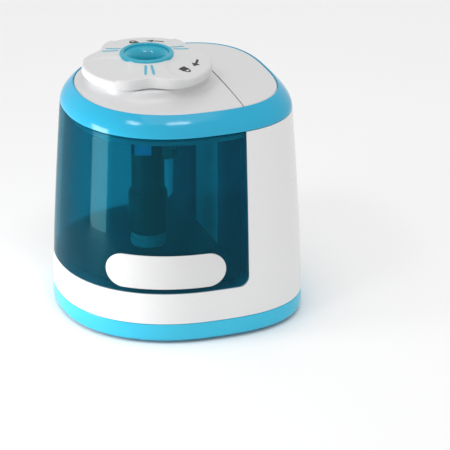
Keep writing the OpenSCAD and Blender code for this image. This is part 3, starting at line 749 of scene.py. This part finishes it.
def make_knob():
    """Knob: rings about its axis, from the funnel's seat over the top, round the scalloped
    edge and back under to the hollow stem."""
    around = np.linspace(0, TURN, 540, endpoint=False)
    edge = knob_edge(around)
    soft = 0.9
    seat_r = FUNNEL_R - 0.3
    out = np.linspace(0, 1, 34)
    turn = np.linspace(0, TURN / 4, 8)[1:]
    flat = 0 * around
    top_r = [seat_r + (edge - soft - seat_r) * t for t in out]
    edge_r = [edge - soft + soft * np.sin(t) for t in turn]
    low_r = [edge, edge - 0.15, edge - 0.6, STEM_R + flat, STEM_R + flat, STEM_R - 1.8 + flat,
             STEM_R - 1.8 + flat, TUBE_R + 0.1 + flat, TUBE_R + 0.1 + flat, seat_r + flat]
    r = np.array(top_r + edge_r + low_r)
    x = r * np.cos(around)
    y = r * np.sin(around)
    z = knob_face(x, y)
    lip = z[len(out) - 1]
    n = len(out)
    z[n:n + len(turn)] = lip - soft + soft * np.cos(turn)[:, None]
    under = [KNOB_Z + 0.6, KNOB_Z + 0.15, KNOB_Z, KNOB_Z, BODY_H + 0.6, BODY_H + 0.6,
             SEAT_Z - 1.2, SEAT_Z - 1.2, SEAT_Z, SEAT_Z]
    z[n + len(turn):] = np.array(under)[:, None]
    piece = solid("knob_cap", np.stack([x, y, z], axis=-1), wrap=True)
    finish_piece(piece, white_top_painted_shade, "knob", "white_plastic", "knob")


def ribbon(a, r, half_width, lift=0.07):
    """A mark along a path of polar points, half_width to each side, draped on the knob's top.
    Its ends shrink to a point."""
    x, y = r * np.cos(a), r * np.sin(a)
    along = np.stack([np.gradient(x), np.gradient(y)])
    along = along / np.linalg.norm(along, axis=0)
    across = np.array([-1, -0.5, 0, 0.5, 1, 1, 0.5, 0, -0.5, -1])
    side = np.array([1, 1, 1, 1, 1, -1, -1, -1, -1, -1])
    px = x[:, None] - along[1][:, None] * half_width[:, None] * across
    py = y[:, None] + along[0][:, None] * half_width[:, None] * across
    thick = np.where(half_width > 0, 1, 0)[:, None]
    pz = knob_face(px, py) + lift * side * thick
    return np.stack([px, py, pz], axis=-1)


def tick(a, side):
    """Straight mark beside the direction a, 6.4 long and leaning outwards."""
    t = np.linspace(0, 1, 18)
    r = 10.1 + 6.4 * t
    width = 0.46 * np.sqrt(np.clip(1 - abs(2 * t - 1) ** 8, 0, 1))
    return ribbon(a + side * (0.95 + 0.5 * t) / r, r, width)


def arrow(a, side):
    """Curved arrow round the axis, whose head is a quarter of its length."""
    t = np.linspace(0, 1, 40)
    width = np.where(t < 0.62, 0.42, 1.5 * (1 - t) / 0.38)
    width[[0, -1]] = 0
    return ribbon(a + side * np.radians(24 - 21 * t), 17.2 + 0 * t, width)


def padlock(a, side):
    """Square body with a bowed shackle beyond it."""
    at = a - side * np.radians(12)
    t = np.linspace(0, 1, 16)
    body_w = np.where((t > 0) & (t < 1), 1.5, 0)
    body = ribbon(at + 0 * t, 14.6 + 2.5 * t, body_w)
    bow = np.linspace(-TURN / 4, TURN / 4, 24)
    bow_w = np.full(24, 0.26)
    bow_w[[0, -1]] = 0
    r = 16.9 + 1.5 * np.cos(bow)
    return [body, ribbon(at + 1.0 * np.sin(bow) / r, r, bow_w)]


def make_marks():
    """Two ticks over each scoop, and an arrow with a padlock on two of the lobes."""
    ticks, icons = [], []
    for k in range(LOBES):
        lobe = LOBE_TURN + k * TURN / LOBES
        ticks += [tick(lobe + TURN / LOBES / 2, side) for side in (-1, 1)]
    for k, side in ((0, 1), (1, -1)):
        lobe = LOBE_TURN + k * TURN / LOBES
        icons += [arrow(lobe, side)] + padlock(lobe, side)
    piece = solid("tick_marks", *ticks)
    finish_piece(piece, mark_cyan, "knob", "mark_ink", "knob_marks")
    piece = solid("turn_marks", *icons)
    finish_piece(piece, mark_dark, "knob", "mark_ink", "knob_marks")


def make_funnel():
    """Funnel: a rim over the knob, a dish that falls as a quarter ellipse to the throat, and a
    tube down to the cutter, with a spring slot in the throat."""
    dish = 5.4
    a = np.linspace(0, TURN / 4, 16)
    top = FUNNEL_TOP
    outer = [[PENCIL_R, FUNNEL_LOW], [TUBE_R, FUNNEL_LOW], [TUBE_R, SEAT_Z],
             [FUNNEL_R - 0.4, SEAT_Z], [FUNNEL_R - 0.4, KNOB_EDGE], [FUNNEL_R, KNOB_EDGE + 0.1],
             [FUNNEL_R, top], [FUNNEL_R - 1.5, top]]
    bowl = np.column_stack([PENCIL_R + (FUNNEL_R - 1.5 - PENCIL_R) * (1 - np.sin(a)),
                            top - 0.9 - dish * (1 - np.cos(a))])
    radius = np.full(len(outer) + len(bowl), 0.1)
    radius[6:9] = 0.7
    section = rounded(np.vstack([outer, bowl]), radius, 4)
    piece = solid("funnel_cup", revolve(section), wrap=True)
    slot = rectangle(PENCIL_R - 1, PENCIL_R + 1.4, -0.9, 0.9)
    c, s = np.cos(VIEW_TURN), np.sin(VIEW_TURN)
    slot = np.array(slot) @ np.array([[c, s], [-s, c]])
    carve(piece, solid("slot", prism(slot, FUNNEL_LOW - 1, FUNNEL_TOP - 5.2, 2)))
    finish_piece(piece, cyan_funnel, "knob", "cyan_plastic", "pencil_funnel")


make_base()
make_housing()
make_tank()
make_label()
make_band()
make_rear_cover()
make_front_cover()
make_knob()
make_marks()
make_funnel()


# ---- Floor, light and camera ----

def plain(name, colour, roughness):
    """Plain surface for the floor, with a faint drift in tone."""
    f = Finish(name)
    colour_now = f.blend(f.noise(3, 2), tone((colour,) * 3, 0.995), tone((colour,) * 3, 1.005))
    sockets = {"Base Color": colour_now, "Roughness": roughness, "Specular IOR Level": 0.2}
    return f.close(f.add("ShaderNodeBsdfPrincipled", None, sockets))


def make_floor():
    """Square of pale paper, in metres, well past the edges of the picture."""
    half = 4
    corners = [(-half, -half, 0), (half, -half, 0), (half, half, 0), (-half, half, 0)]
    mesh = bpy.data.meshes.new("floor")
    mesh.from_pydata(corners, [], [(0, 1, 2, 3)])
    floor = bpy.data.objects.new("floor", mesh)
    bpy.context.scene.collection.objects.link(floor)
    mesh.materials.append(plain("floor_paper", 0.97, 0.6))


# The camera looks at AIM, from CAMERA_FAR metres away and CAMERA_RISE degrees up
AIM = Vector((0.00906, 0.0156, 0.0279))
CAMERA_RISE = 24
CAMERA_FAR = 1.2
CAMERA_LENS = 278


def softbox(name, centre, width, height, radiance, aim=AIM):
    """Area light that faces aim. Its power is pi * area * radiance."""
    lamp = bpy.data.lights.new(name, "AREA")
    lamp.shape = "RECTANGLE"
    lamp.size = width
    lamp.size_y = height
    lamp.energy = np.pi * width * height * radiance
    light = bpy.data.objects.new(name, lamp)
    light.location = centre
    light.rotation_euler = (Vector(centre) - aim).to_track_quat("Z", "Y").to_euler()
    light.visible_camera = False
    bpy.context.scene.collection.objects.link(light)


def seen_from(turn, rise, distance):
    """Point at a distance from AIM, turned about Z from the camera's side and raised."""
    a = VIEW_TURN - TURN / 4 + np.radians(turn)
    e = np.radians(rise)
    flat = distance * np.cos(e)
    return AIM + Vector((flat * np.cos(a), flat * np.sin(a), distance * np.sin(e)))


def make_lights():
    """White surroundings, one wide overhead softbox and three small ones for the highlights."""
    world = bpy.data.worlds.new("studio")
    bpy.context.scene.world = world
    world.use_nodes = True
    back = world.node_tree.nodes["Background"]
    back.inputs["Color"].default_value = (1, 1, 1, 1)
    back.inputs["Strength"].default_value = 0.74
    softbox("overhead", seen_from(10, 78, 1.1), 0.8, 0.8, 0.9)
    softbox("left_strip", seen_from(-68, 2, 0.16), 0.05, 0.13, 8)
    softbox("left_high", seen_from(-44, 52, 0.8), 0.16, 0.10, 9)
    softbox("right_high", seen_from(14, 58, 0.8), 0.2, 0.08, 9)


def make_camera():
    """Long lens, on the label plate's side."""
    camera = bpy.data.cameras.new("camera")
    camera.sensor_width = 36
    camera.lens = CAMERA_LENS
    viewer = bpy.data.objects.new("camera", camera)
    viewer.location = seen_from(0, CAMERA_RISE, CAMERA_FAR)
    viewer.rotation_euler = (viewer.location - AIM).to_track_quat("Z", "Y").to_euler()
    bpy.context.scene.collection.objects.link(viewer)
    bpy.context.scene.camera = viewer


make_floor()
make_lights()
make_camera()
bpy.context.scene.view_settings.view_transform = "Standard"
